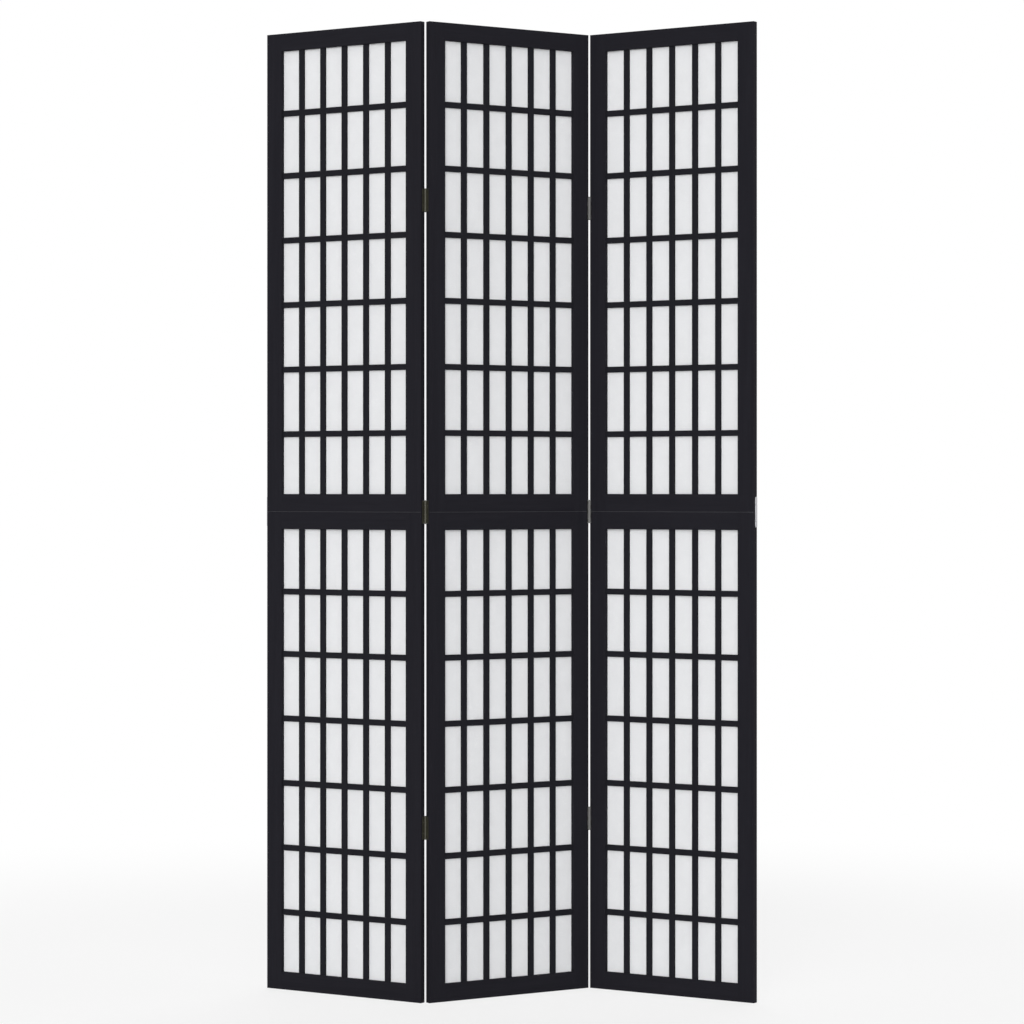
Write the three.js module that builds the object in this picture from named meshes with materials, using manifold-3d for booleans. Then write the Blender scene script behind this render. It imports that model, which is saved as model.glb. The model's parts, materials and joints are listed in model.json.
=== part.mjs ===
// A three-panel shoji folding screen. Millimetres, +Z up, +X to the right and +Y away from the
// viewer. The origin is on the floor, under the centre of the middle panel.
//
// Each panel is two square-cornered wooden frames stacked on one another, each holding a glued
// lattice of thin bars with a sheet of paper behind it. Three pinned butt hinges at each fold join
// the panels, and at the free ends a small steel plate ties the upper frame to the lower one.

import * as THREE from 'three';
import { mergeVertices } from 'three/addons/utils/BufferGeometryUtils.js';
import Module from 'manifold-3d';

const wasm = await Module();
wasm.setup();

// The whole screen
const screenHeight = 1800;
const panelWidth = 352;
const restAngle = 32.85; // degrees that each panel turns from the line of the screen

// Frames: two stiles and two rails each, stub-tenoned together
const frameThickness = 12;
const stileWidth = 34;
const railHeight = 33;
const tenonLength = 18;
const tenonThickness = 4;
const tenonOuterShoulder = 6; // from the rail's outer edge to its tenon
const tenonInnerShoulder = 1; // from the rebate to the tenon
const seamGap = 0.3; // between the upper and the lower frame

// Lattice: bars set back from the front and let into housings in the frame
const barWidth = 11;
const barThickness = 4.8;
const latticeRecess = 3.1;
const housingDepth = 3.3;
const panesWide = 6;
const middleRows = 4; // rows of equal panes between the second row and the bottom row
const topPaneHeight = 112;
const secondPaneHeight = 106.5;
const bottomPaneHeight = 107;

// Paper: one sheet on the back of each lattice, in a rebate around the opening
const paperThickness = 0.4;
const rebateWidth = 5;

// Hinges: leaves let in flush with the panels' end faces, knuckles partly sunk in the corners
const hingeHeight = 42;
const leafWidth = 8;
const leafThickness = 1.2;
const knuckleRadius = 3.5;
const pinStandOff = 2.3; // from the panel's face to the middle of the pins
const knuckleCount = 5;
const knuckleEndPlay = 0.3;
const pinRadius = 1.25;
const pinClearance = 0.1;
const pinHeadRadius = 2.1;
const pinHeadHeight = 0.8;
const endGap = 0.4; // between two panels' end faces when the fold is opened flat
const topHingeDrop = 327.5; // from the top of the screen to the centre of the upper hinge
const bottomHingeRise = 320.5; // from the floor to the centre of the lower hinge
const hingeScrewPitch = 20;
const hingeScrewInset = 4.8; // from the panel's face

// Joining plates on the two free ends of the screen, across the seam
const plateHeight = 56;
const plateWidth = 7;
const plateThickness = 0.8;
const plateCornerRadius = 2;
const plateInset = 0.5; // from the panel's face to the plate's edge
const plateScrewRise = 15.4; // from the seam to the screw in each frame

// Screws, driven through leaves and plates into the end faces of the stiles
const screwRadius = 1.3;
const screwLength = 12;
const screwHeadRadius = 2.5;
const screwHeadRise = 0.1;
const screwHeadDepth = 0.4; // of a head below the face that it stands on

// Clearances and facets
const fitGap = 0.3; // between pieces that are glued, pressed or laid together
const cutOverrun = 2; // how far a cutting tool runs past the face that it opens
const roundSides = 12;
const screwSides = 8;
const cornerSegments = 3;

const FRONT = -1;
const BACK = 1;
const LEFT = -1;
const RIGHT = 1;

const halfThickness = frameThickness / 2;
const frameHeight = (screenHeight - seamGap) / 2;
const seamHeight = screenHeight / 2;
const openingWidth = panelWidth - 2 * stileWidth;
const openingHeight = frameHeight - 2 * railHeight;
const shoulderDepth = latticeRecess + barThickness;
const pinX = (panelWidth + endGap) / 2;
const pinY = halfThickness + pinStandOff;
const hingeHeights = {
  bottom: bottomHingeRise,
  middle: seamHeight,
  top: screenHeight - topHingeDrop,
};

const finishes = {
  frame: { color: 0x242429, roughness: 0.55, metalness: 0 },
  lattice: { color: 0x232428, roughness: 0.6, metalness: 0 },
  paper: { color: 0xe5e6e9, roughness: 0.9, metalness: 0 },
  hinge: { color: 0x6b6963, roughness: 0.4, metalness: 1 },
  pin: { color: 0x8a8882, roughness: 0.35, metalness: 1 },
  plate: { color: 0xc4c4c8, roughness: 0.35, metalness: 1 },
};

function namedMesh(name, geometry, finish) {
  const mesh = new THREE.Mesh(geometry, new THREE.MeshStandardMaterial(finishes[finish]));
  mesh.name = name;
  return mesh;
}

// Solids

function solidOf(geometry) {
  const bare = geometry.clone();
  bare.deleteAttribute('normal');
  bare.deleteAttribute('uv');
  const merged = mergeVertices(bare);
  const vertProperties = new Float32Array(merged.attributes.position.array);
  const triVerts = new Uint32Array(merged.index.array);
  return new wasm.Manifold(new wasm.Mesh({ numProp: 3, vertProperties, triVerts }));
}

function geometryOf(solid) {
  const mesh = solid.getMesh();
  const indexed = new THREE.BufferGeometry();
  indexed.setAttribute('position', new THREE.BufferAttribute(mesh.vertProperties, 3));
  indexed.setIndex(new THREE.BufferAttribute(mesh.triVerts, 1));
  const geometry = indexed.toNonIndexed();
  geometry.computeVertexNormals();
  return geometry;
}

function joined(geometries) {
  const solids = geometries.map(solidOf);
  return geometryOf(solids.reduce((whole, solid) => whole.add(solid)));
}

function cutAway(geometry, tools) {
  const solids = tools.map(solidOf);
  return geometryOf(solids.reduce((rest, tool) => rest.subtract(tool), solidOf(geometry)));
}

function sortedSpan(a, b) {
  return [Math.min(a, b), Math.max(a, b)];
}

function spanAround(centre, size) {
  return [centre - size / 2, centre + size / 2];
}

function block(xSpan, ySpan, zSpan) {
  const spans = [xSpan, ySpan, zSpan];
  const [width, depth, height] = spans.map(([low, high]) => high - low);
  const geometry = new THREE.BoxGeometry(width, depth, height);
  geometry.translate(...spans.map(([low, high]) => (low + high) / 2));
  return geometry;
}

function rodAlongX(radius, sides, xSpan, y, z) {
  const geometry = new THREE.CylinderGeometry(radius, radius, xSpan[1] - xSpan[0], sides);
  geometry.rotateZ(Math.PI / 2);
  geometry.translate((xSpan[0] + xSpan[1]) / 2, y, z);
  return geometry;
}

function rodAlongZ(radius, sides, x, y, zSpan) {
  const geometry = new THREE.CylinderGeometry(radius, radius, zSpan[1] - zSpan[0], sides);
  geometry.rotateX(Math.PI / 2);
  geometry.translate(x, y, (zSpan[0] + zSpan[1]) / 2);
  return geometry;
}

// Places in a panel, whose own origin is on the floor under its centre

// The x span between two distances inwards from the panel's left or right end face
function inwards(side, near, far) {
  const edge = side * panelWidth / 2;
  return sortedSpan(edge - side * near, edge - side * far);
}

// The y span between two distances inwards from the panel's front or back face
function beneath(face, near, far) {
  const surface = face * halfThickness;
  return sortedSpan(surface - face * near, surface - face * far);
}

// The z span between two distances from a frame's outer edge, for its top or bottom rail
function fromFrameEdge(base, isTop, near, far) {
  if (isTop) {
    return sortedSpan(base + frameHeight - near, base + frameHeight - far);
  }
  return sortedSpan(base + near, base + far);
}

// Lattice layout

function columnBars() {
  const paneWidth = (openingWidth - (panesWide - 1) * barWidth) / panesWide;
  const centres = [];
  for (let bar = 1; bar < panesWide; bar += 1) {
    centres.push(-openingWidth / 2 + bar * (paneWidth + barWidth) - barWidth / 2);
  }
  return centres;
}

// Heights of the bars' centres above the bottom of their frame, from the top bar down. The rows
// of the real screen aren't quite even: the second row and the bottom row are lower than the rest.
function rowBars() {
  const barCount = middleRows + 2;
  const namedPanes = topPaneHeight + secondPaneHeight + bottomPaneHeight;
  const middlePane = (openingHeight - namedPanes - barCount * barWidth) / middleRows;
  const panes = [topPaneHeight, secondPaneHeight];
  for (let row = 0; row < middleRows; row += 1) {
    panes.push(middlePane);
  }
  const centres = [];
  let height = frameHeight - railHeight;
  for (const pane of panes) {
    height -= pane + barWidth;
    centres.push(height + barWidth / 2);
  }
  return centres;
}

// Wooden frame

// The mortise or, without clearance, the tenon between a stile and a rail
function tenonBlock(side, base, isTop, clearance) {
  const inner = railHeight - rebateWidth - tenonInnerShoulder;
  const buried = stileWidth - tenonLength - clearance;
  return block(
    inwards(side, buried, stileWidth + cutOverrun),
    spanAround(0, tenonThickness + 2 * clearance),
    fromFrameEdge(base, isTop, tenonOuterShoulder - clearance, inner + clearance),
  );
}

function leafPocket(side, face, height) {
  return block(
    inwards(side, -cutOverrun, leafThickness + fitGap),
    beneath(face, -cutOverrun, leafWidth + fitGap),
    spanAround(height, hingeHeight + 2 * fitGap),
  );
}

// Room for the knuckles of both leaves in the corner of a stile
function knucklePocket(side, face, height) {
  const zSpan = spanAround(height, hingeHeight + 2 * fitGap);
  return rodAlongZ(knuckleRadius + fitGap, roundSides, side * pinX, face * pinY, zSpan);
}

function screwBore(side, y, height) {
  const span = inwards(side, -cutOverrun, screwLength + fitGap);
  return rodAlongX(screwRadius + fitGap, screwSides, span, y, height);
}

function hingeScrewPlaces(face, height) {
  const y = face * (halfThickness - hingeScrewInset);
  return [-1, 1].map((way) => ({ y, z: height + way * hingeScrewPitch / 2 }));
}

function plateScrewPlaces(face) {
  const y = face * (halfThickness - plateInset - plateWidth / 2);
  return [-1, 1].map((way) => ({ y, z: seamHeight + way * plateScrewRise }));
}

// What the hardware on one end of a panel cuts out of the stiles there
function hardwareCuts(side, end) {
  if (end.hardware === 'plate') {
    return plateScrewPlaces(end.face).map(({ y, z }) => screwBore(side, y, z));
  }
  const cuts = [];
  for (const height of Object.values(hingeHeights)) {
    cuts.push(leafPocket(side, end.face, height), knucklePocket(side, end.face, height));
    for (const { y, z } of hingeScrewPlaces(end.face, height)) {
      cuts.push(screwBore(side, y, z));
    }
  }
  return cuts;
}

function stile(side, base, end) {
  const blank = block(
    inwards(side, 0, stileWidth),
    spanAround(0, frameThickness),
    [base, base + frameHeight],
  );
  const rebateEdge = railHeight - rebateWidth;
  const rebate = block(
    inwards(side, stileWidth - rebateWidth, stileWidth + cutOverrun),
    beneath(FRONT, shoulderDepth, frameThickness + cutOverrun),
    [base + rebateEdge, base + frameHeight - rebateEdge],
  );
  const housings = rowBars().map((height) => block(
    inwards(side, stileWidth - housingDepth, stileWidth + cutOverrun),
    beneath(FRONT, latticeRecess - fitGap, shoulderDepth + cutOverrun),
    spanAround(base + height, barWidth + 2 * fitGap),
  ));
  const mortises = [false, true].map((isTop) => tenonBlock(side, base, isTop, fitGap));
  return cutAway(blank, [rebate, ...housings, ...mortises, ...hardwareCuts(side, end)]);
}

function rail(base, isTop) {
  const blank = block(
    spanAround(0, openingWidth - 2 * fitGap),
    spanAround(0, frameThickness),
    fromFrameEdge(base, isTop, 0, railHeight),
  );
  const tenons = [LEFT, RIGHT].map((side) => tenonBlock(side, base, isTop, 0));
  const rebate = block(
    spanAround(0, openingWidth + 2 * cutOverrun),
    beneath(FRONT, shoulderDepth, frameThickness + cutOverrun),
    fromFrameEdge(base, isTop, railHeight - rebateWidth, railHeight + cutOverrun),
  );
  const housings = columnBars().map((x) => block(
    spanAround(x, barWidth + 2 * fitGap),
    beneath(FRONT, latticeRecess - fitGap, shoulderDepth + cutOverrun),
    fromFrameEdge(base, isTop, railHeight - housingDepth, railHeight + cutOverrun),
  ));
  return cutAway(joined([blank, ...tenons]), [rebate, ...housings]);
}

function lattice(base) {
  const reach = 2 * (housingDepth - fitGap);
  const ySpan = beneath(FRONT, latticeRecess, shoulderDepth);
  const uprights = columnBars().map((x) => block(
    spanAround(x, barWidth),
    ySpan,
    spanAround(base + frameHeight / 2, openingHeight + reach),
  ));
  const crossbars = rowBars().map((height) => block(
    spanAround(0, openingWidth + reach),
    ySpan,
    spanAround(base + height, barWidth),
  ));
  return joined([...uprights, ...crossbars]);
}

function paper(base) {
  const lap = 2 * (rebateWidth - fitGap);
  const front = shoulderDepth + fitGap;
  return block(
    spanAround(0, openingWidth + lap),
    beneath(FRONT, front, front + paperThickness),
    spanAround(base + frameHeight / 2, openingHeight + lap),
  );
}

// Hardware

// A screw joined to the leaf or plate that it holds, whose outer face stands off the end face
function screw(side, standOff, y, z) {
  return [
    rodAlongX(screwRadius, screwSides, inwards(side, -standOff, screwLength), y, z),
    rodAlongX(
      screwHeadRadius,
      screwSides,
      inwards(side, -standOff - screwHeadRise, -standOff + screwHeadDepth),
      y,
      z,
    ),
  ];
}

function knuckleSpans(height) {
  const pitch = hingeHeight / knuckleCount;
  const spans = [];
  for (let knuckle = 0; knuckle < knuckleCount; knuckle += 1) {
    const centre = height - hingeHeight / 2 + (knuckle + 0.5) * pitch;
    spans.push(spanAround(centre, pitch - knuckleEndPlay));
  }
  return spans;
}

// One leaf with its share of the knuckles: the odd ones, which include both ends, or the even ones
function leaf(side, face, height, takesOuterKnuckles) {
  const x = side * pinX;
  const y = face * pinY;
  const reach = Math.sqrt((knuckleRadius + fitGap) ** 2 - (endGap / 2) ** 2);
  const plateSpan = inwards(side, 0, leafThickness);
  const parts = [
    block(
      plateSpan,
      beneath(face, reach - pinStandOff, leafWidth),
      spanAround(height, hingeHeight),
    ),
  ];
  const firstKnuckle = takesOuterKnuckles ? 0 : 1;
  knuckleSpans(height).forEach((zSpan, index) => {
    if (index % 2 === firstKnuckle) {
      parts.push(block(plateSpan, beneath(face, -pinStandOff, leafWidth / 2), zSpan));
      parts.push(rodAlongZ(knuckleRadius, roundSides, x, y, zSpan));
    }
  });
  for (const place of hingeScrewPlaces(face, height)) {
    parts.push(...screw(side, 0, place.y, place.z));
  }
  const boreSpan = spanAround(height, hingeHeight + 2 * cutOverrun);
  const bore = rodAlongZ(pinRadius + pinClearance, roundSides, x, y, boreSpan);
  return cutAway(joined(parts), [bore]);
}

function hingePin(height) {
  const shank = hingeHeight / 2 + knuckleEndPlay;
  const tip = shank + pinHeadHeight;
  const profile = [
    [0, -tip],
    [pinHeadRadius, -tip],
    [pinHeadRadius, -shank],
    [pinRadius, -shank],
    [pinRadius, shank],
    [pinHeadRadius, shank],
    [pinHeadRadius, tip],
    [0, tip],
  ].map(([radius, along]) => new THREE.Vector2(radius, along));
  const geometry = new THREE.LatheGeometry(profile, roundSides);
  geometry.rotateX(Math.PI / 2);
  geometry.translate(0, 0, height);
  return geometryOf(solidOf(geometry));
}

function roundedOutline(width, height, radius) {
  const right = width / 2;
  const top = height / 2;
  const outline = new THREE.Shape();
  outline.absarc(right - radius, top - radius, radius, 0, Math.PI / 2);
  outline.absarc(radius - right, top - radius, radius, Math.PI / 2, Math.PI);
  outline.absarc(radius - right, radius - top, radius, Math.PI, 1.5 * Math.PI);
  outline.absarc(right - radius, radius - top, radius, 1.5 * Math.PI, 2 * Math.PI);
  return outline;
}

function joiningPlate(side, face) {
  const outline = roundedOutline(plateWidth, plateHeight, plateCornerRadius);
  const blank = new THREE.ExtrudeGeometry(outline, {
    depth: plateThickness,
    bevelEnabled: false,
    curveSegments: cornerSegments,
  });
  blank.rotateX(Math.PI / 2);
  blank.rotateZ(Math.PI / 2);
  blank.computeBoundingBox();
  const xSpan = inwards(side, -fitGap - plateThickness, -fitGap);
  const y = face * (halfThickness - plateInset - plateWidth / 2);
  blank.translate(xSpan[0] - blank.boundingBox.min.x, y, seamHeight);
  const screws = plateScrewPlaces(face).flatMap(
    (place) => screw(side, fitGap + plateThickness, place.y, place.z),
  );
  return joined([blank, ...screws]);
}

// Panels

function addFrame(group, name, base, ends) {
  group.add(namedMesh(`${name}_left_stile`, stile(LEFT, base, ends.left), 'frame'));
  group.add(namedMesh(`${name}_right_stile`, stile(RIGHT, base, ends.right), 'frame'));
  group.add(namedMesh(`${name}_top_rail`, rail(base, true), 'frame'));
  group.add(namedMesh(`${name}_bottom_rail`, rail(base, false), 'frame'));
  group.add(namedMesh(`${name}_lattice`, lattice(base), 'lattice'));
  group.add(namedMesh(`${name}_paper`, paper(base), 'paper'));
}

function addHardware(group, side, end) {
  if (end.hardware === 'plate') {
    group.add(namedMesh(end.name, joiningPlate(side, end.face), 'plate'));
    return;
  }
  const leafName = side === LEFT ? 'right_leaf' : 'left_leaf';
  for (const [level, height] of Object.entries(hingeHeights)) {
    const name = `${end.name}_${level}_hinge`;
    const geometry = leaf(side, end.face, height, end.holdsPins);
    group.add(namedMesh(`${name}_${leafName}`, geometry, 'hinge'));
    if (end.holdsPins) {
      const pin = namedMesh(`${name}_pin`, hingePin(height), 'pin');
      pin.position.set(side * pinX, end.face * pinY, 0);
      group.add(pin);
    }
  }
}

function panel(name, ends) {
  const group = new THREE.Group();
  group.name = name;
  addFrame(group, `${name}_lower`, 0, ends);
  addFrame(group, `${name}_upper`, frameHeight + seamGap, ends);
  addHardware(group, LEFT, ends.left);
  addHardware(group, RIGHT, ends.right);
  return group;
}

// Hangs a panel on the middle panel's pins at one side, turned by twice the rest angle
function hungPanel(hung, side, face) {
  const pivot = new THREE.Group();
  pivot.position.set(side * pinX, face * pinY, 0);
  pivot.rotation.z = THREE.MathUtils.degToRad(-2 * restAngle);
  hung.position.set(side * pinX, -face * pinY, 0);
  pivot.add(hung);
  return pivot;
}

const leftPanel = panel('left_panel', {
  left: { hardware: 'plate', name: 'left_end_joining_plate', face: FRONT },
  right: { hardware: 'hinges', name: 'left_fold', face: BACK, holdsPins: false },
});
const middlePanel = panel('middle_panel', {
  left: { hardware: 'hinges', name: 'left_fold', face: BACK, holdsPins: true },
  right: { hardware: 'hinges', name: 'right_fold', face: FRONT, holdsPins: true },
});
const rightPanel = panel('right_panel', {
  left: { hardware: 'hinges', name: 'right_fold', face: FRONT, holdsPins: false },
  right: { hardware: 'plate', name: 'right_end_joining_plate', face: BACK },
});

middlePanel.rotation.z = THREE.MathUtils.degToRad(restAngle);
middlePanel.add(hungPanel(leftPanel, LEFT, BACK));
middlePanel.add(hungPanel(rightPanel, RIGHT, FRONT));

const screen = new THREE.Group();
screen.name = 'shoji_folding_screen';
screen.add(middlePanel);

export default screen;
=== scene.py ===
"""A three-panel shoji folding screen of black lacquered wood and white fibre paper, in metres.

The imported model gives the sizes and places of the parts. Each panel's pieces are made in that
panel's own coordinates: x across the panel, y from its front to its back, z up, with the origin
on the floor under its centre.
"""

import itertools
import json
import math
import random

import bmesh
import bpy
from mathutils import Matrix, Vector, noise

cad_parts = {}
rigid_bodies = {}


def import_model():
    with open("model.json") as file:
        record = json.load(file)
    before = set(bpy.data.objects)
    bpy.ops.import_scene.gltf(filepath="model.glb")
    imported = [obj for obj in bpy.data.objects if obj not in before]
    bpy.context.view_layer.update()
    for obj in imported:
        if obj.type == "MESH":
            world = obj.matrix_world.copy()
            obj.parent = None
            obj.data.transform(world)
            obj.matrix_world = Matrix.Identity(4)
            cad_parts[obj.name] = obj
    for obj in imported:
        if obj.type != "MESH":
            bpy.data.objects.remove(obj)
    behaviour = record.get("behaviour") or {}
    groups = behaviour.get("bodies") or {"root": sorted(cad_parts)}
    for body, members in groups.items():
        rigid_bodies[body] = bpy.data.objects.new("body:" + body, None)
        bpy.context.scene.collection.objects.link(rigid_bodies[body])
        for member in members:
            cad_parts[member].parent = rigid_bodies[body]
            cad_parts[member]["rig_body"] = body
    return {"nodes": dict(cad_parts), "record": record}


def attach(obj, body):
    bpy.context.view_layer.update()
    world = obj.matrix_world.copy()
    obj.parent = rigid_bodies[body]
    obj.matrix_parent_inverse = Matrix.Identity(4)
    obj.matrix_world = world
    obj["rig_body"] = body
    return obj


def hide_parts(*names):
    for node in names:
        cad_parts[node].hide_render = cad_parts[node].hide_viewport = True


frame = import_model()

MM = 0.001

# How the panels stand: the mount under each panel, and its turn from the line of the screen
REST_ANGLE = math.radians(32.85)
PANELS = {
    "left_panel": ("floor_rest_left", -REST_ANGLE),
    "middle_panel": ("floor_rest_middle", REST_ANGLE),
    "right_panel": ("floor_rest_right", -REST_ANGLE),
}
LEVELS = ("lower", "upper")
HINGE_LEVELS = ("bottom", "middle", "top")

# Woodwork
REBATE_WIDTH = 5 * MM
HOUSING_DEPTH = 3.2 * MM
HOUSING_GAP = 0.1 * MM  # round a bar where it enters the frame
BUTT_GAP = 0.03 * MM  # the hairline where a rail's end meets its stile
SEAM_GAP = 0.06 * MM  # where the upper frame stands on the lower one
LAP_GAP = 0.04 * MM  # between two bars where they are halved over each other
EASED_EDGE = 0.3 * MM
EASED_BAR_EDGE = 0.18 * MM
EASING_STEPS = 2
EASED_SLOPE = 0.2  # a face whose normal leans both ways by more than this is an eased edge

# Paper
PAPER_THICKNESS = 0.2 * MM
PAPER_SETBACK = 0.06 * MM  # behind the lattice
PAPER_MARGIN = 4.6 * MM  # into the rebate
PAPER_STEP = 9 * MM
PAPER_SLACK = 0.16 * MM  # how far the paper swells between the bars
PAPER_SLACK_SHARES = (-0.25, 1.0)  # from the tightest pane to the slackest
PAPER_RIPPLE = 0.05 * MM
PAPER_RIPPLE_RATE = 40  # per metre
PAPER_RIPPLE_SHIFT = 50  # how far into the ripple's pattern a sheet may start
PAPER_SWELL_POWER = 0.7
PAPER_SEED = 11

# Hinges
LEAF_WIDTH = 8 * MM
LEAF_THICKNESS = 1.2 * MM
LEAF_CORNER = 1.2 * MM
LEAF_EDGE = 0.12 * MM
LEAF_POCKET_GAP = 0.15 * MM
PAINTED_HIGHLIGHT_SLOPE = 0.15  # least share of a knuckle's surface normal that points off the panel, for its painted highlight
LEAF_FOOT = 2.1 * MM  # from the panel's face to where the rolled metal lies flat in the leaf
HINGE_HEIGHT = 42 * MM
KNUCKLE_COUNT = 5
KNUCKLE_RADIUS = 3.5 * MM
KNUCKLE_END_PLAY = 0.12 * MM  # also between the knuckles and the flat of the other leaf
BORE_RADIUS = 1.35 * MM
BORE_STEPS = 20
ROLL_SLIT = 0.18 * MM  # where the rolled metal comes back to the leaf
PIN_RADIUS = 1.25 * MM
PIN_HEAD_RADIUS = 2.1 * MM
PIN_HEAD_HEIGHT = 0.8 * MM
PIN_HEAD_RIM = 0.25  # of the head's height, below its dome
PIN_DOME_ANGLES = (1.35, 1.1, 0.8, 0.5, 0.25, 0)  # up from the rim
PIN_STEPS = 24
HINGE_SCREW_PITCH = 20 * MM
HINGE_SCREW_INSET = 4.8 * MM  # from the panel's face
KNUCKLE_GAP = 0.2 * MM  # round the knuckles, where the stile is cut away for them

# Joining plates
PLATE_HEIGHT = 56 * MM
PLATE_WIDTH = 7 * MM
PLATE_INSET = 0.5 * MM
PLATE_LIFT = 0.03 * MM
PLATE_FACE = 1.1 * MM  # the plate's outer face, off the panel's end
PLATE_CORNER = 2 * MM
PLATE_EDGE = 0.18 * MM
PLATE_SCREW_RISE = 15.4 * MM

# Screws
SCREW_RADIUS = 1.3 * MM
SCREW_LENGTH = 12 * MM
SCREW_HEAD_RADIUS = 2.5 * MM
SCREW_HEAD_RISE = 0.1 * MM
SCREW_HEAD_DEPTH = 1.0 * MM
SCREW_SINK_GAP = 0.12 * MM
SCREW_THREAD_PITCH = 1.1 * MM
SCREW_THREAD_DEPTH = 0.3 * MM
SCREW_TIP = 2 * MM  # without thread
SCREW_POINT = 0.15  # of the screw's radius
SCREW_CROWN = 0.08 * MM
SCREW_CROWN_SHARE = 0.9  # of the head's radius that is flat on top
SCREW_STEPS = 24
SCREW_SEED = 5  # for how far each screw is turned
RECESS_REACH = 1.55 * MM
RECESS_WIDTH = 0.42 * MM
RECESS_DEPTH = 0.8 * MM
RECESS_TAPER = 0.6  # of the cross at its foot, against its top

# Meshes
CORNER_STEPS = 6  # round each corner of a leaf or plate
ROUND_STEPS = 32
SHARP_ANGLE = math.radians(50)  # an edge that turns more than this is shaded as an edge
FLAT_ANGLE = 0.01  # faces that turn less than this are joined into one
SAME_LEVEL = 0.05 * MM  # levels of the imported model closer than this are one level
TOUCHING = 0.01 * MM  # a point this near a face lies on it
POCKET_MARGIN = 0.1 * MM  # an edge this near a hinge pocket belongs to it

# Looks
CHANCE_SPREAD = 40.0  # how far apart the patterns of two pieces may start
GRAIN_STRETCH = 0.035  # the scale of the grain along the wood, as a share of that across it
LACQUER_SPECULAR = 0.02
PAPER_SPECULAR = 0.12
PAPER_TRANSLUCENCY = 0.4
WEAR_SPREAD = 0.08  # how much rougher or smoother worn spots are

# Camera, fitted to the photograph: level, a little above the middle of the screen
PHOTO_PIXELS = 1024
FOCAL_PIXELS = 3352
HORIZON_PIXELS = 488.5  # the picture's row that lies level with the camera
CAMERA_PLACE = (0.0065, -6.243, 0.9434)
SENSOR_WIDTH = 36
CAMERA_REACH = 100

# Light
WHITE = (1, 1, 1, 1)
AMBIENT = 0.25
LAMPS = (  # name, bearing, height and spread in degrees, strength
    ("key", -5, 12, 30, 2.19),
    ("top", -5, 50, 50, 0.57),
    ("back", 172, 30, 60, 1.5),
)
LAMP_LEVEL = 4
FLOOR_SIZE = 30
FLOOR_COLOUR = (0.9, 0.9, 0.9, 1)
FLOOR_LEVEL = -0.3 * MM
FLOOR_FADE = (1.2, 3.0)  # how far off the floor turns plain white to the camera
FLOOR_GLOW = (0.75, 1.0)  # the share of plain white nearer than that and beyond it


# Places

def panel_matrices():
    """Where each panel stands at rest, by its body."""
    mounts = {mount["name"]: Vector(mount["pos_m"]) for mount in frame["record"]["mounts"]}
    return {
        body: Matrix.Translation(mounts[mount]) @ Matrix.Rotation(turn, 4, "Z")
        for body, (mount, turn) in PANELS.items()
    }


PANEL_MATRIX = panel_matrices()


def body_of(node):
    return frame["nodes"][node]["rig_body"]


def panel_points(node):
    """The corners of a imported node, in its own panel's coordinates."""
    into_panel = PANEL_MATRIX[body_of(node)].inverted()
    return [into_panel @ vertex.co for vertex in frame["nodes"][node].data.vertices]


def panel_box(node):
    points = panel_points(node)
    return Vector(map(min, zip(*points))), Vector(map(max, zip(*points)))


def levels_along(points, axis):
    """The different coordinates of the points on one axis, in order."""
    found = []
    for value in sorted(point[axis] for point in points):
        if not found or value - found[-1] > SAME_LEVEL:
            found.append(value)
    return found


def bar_spans(points, axis):
    """The spans of the bars across one axis: all the levels but the two ends, in pairs."""
    inner = levels_along(points, axis)[1:-1]
    return list(zip(inner[::2], inner[1::2]))


class HalfFrame:
    """The upper or the lower frame of a panel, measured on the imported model."""

    def __init__(self, body, level):
        self.body = body
        self.name = f"{body}_{level}"
        stile_low, stile_high = panel_box(f"{self.name}_right_stile")
        self.edge = stile_high.x
        self.opening_edge = stile_low.x
        self.front = stile_low.y
        self.back = stile_high.y
        self.bottom, self.opening_bottom = self.rail_span(level, "bottom")
        self.opening_top, self.top = self.rail_span(level, "top")
        lattice = panel_points(f"{self.name}_lattice")
        self.uprights = bar_spans(lattice, 0)
        self.crossbars = bar_spans(lattice, 2)
        self.lattice_low, self.lattice_high = panel_box(f"{self.name}_lattice")

    def rail_span(self, level, end):
        """A rail's span in height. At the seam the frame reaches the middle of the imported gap."""
        low, high = panel_box(f"{self.name}_{end}_rail")
        below = panel_box(f"{self.body}_lower_top_rail")[1].z
        above = panel_box(f"{self.body}_upper_bottom_rail")[0].z
        seam = (below + above) / 2
        if level == "lower" and end == "top":
            return low.z, seam - SEAM_GAP / 2
        if level == "upper" and end == "bottom":
            return seam + SEAM_GAP / 2, high.z
        return low.z, high.z


def hinge_heights():
    """The height of each hinge's centre, by its name, measured on its pin."""
    heights = {}
    for fold, level in itertools.product(("left_fold", "right_fold"), HINGE_LEVELS):
        low, high = panel_box(f"{fold}_{level}_hinge_pin")
        heights[f"{fold}_{level}"] = (low.z + high.z) / 2
    return heights


HINGE_HEIGHTS = hinge_heights()

# Each end of each panel, left (-1) and right (1): what it carries, and on which face, front (-1)
# or back (1)
PANEL_ENDS = {
    ("left_panel", -1): ("left_end", -1),
    ("left_panel", 1): ("left_fold", 1),
    ("middle_panel", -1): ("left_fold", 1),
    ("middle_panel", 1): ("right_fold", -1),
    ("right_panel", -1): ("right_fold", -1),
    ("right_panel", 1): ("right_end", 1),
}


# Materials

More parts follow.
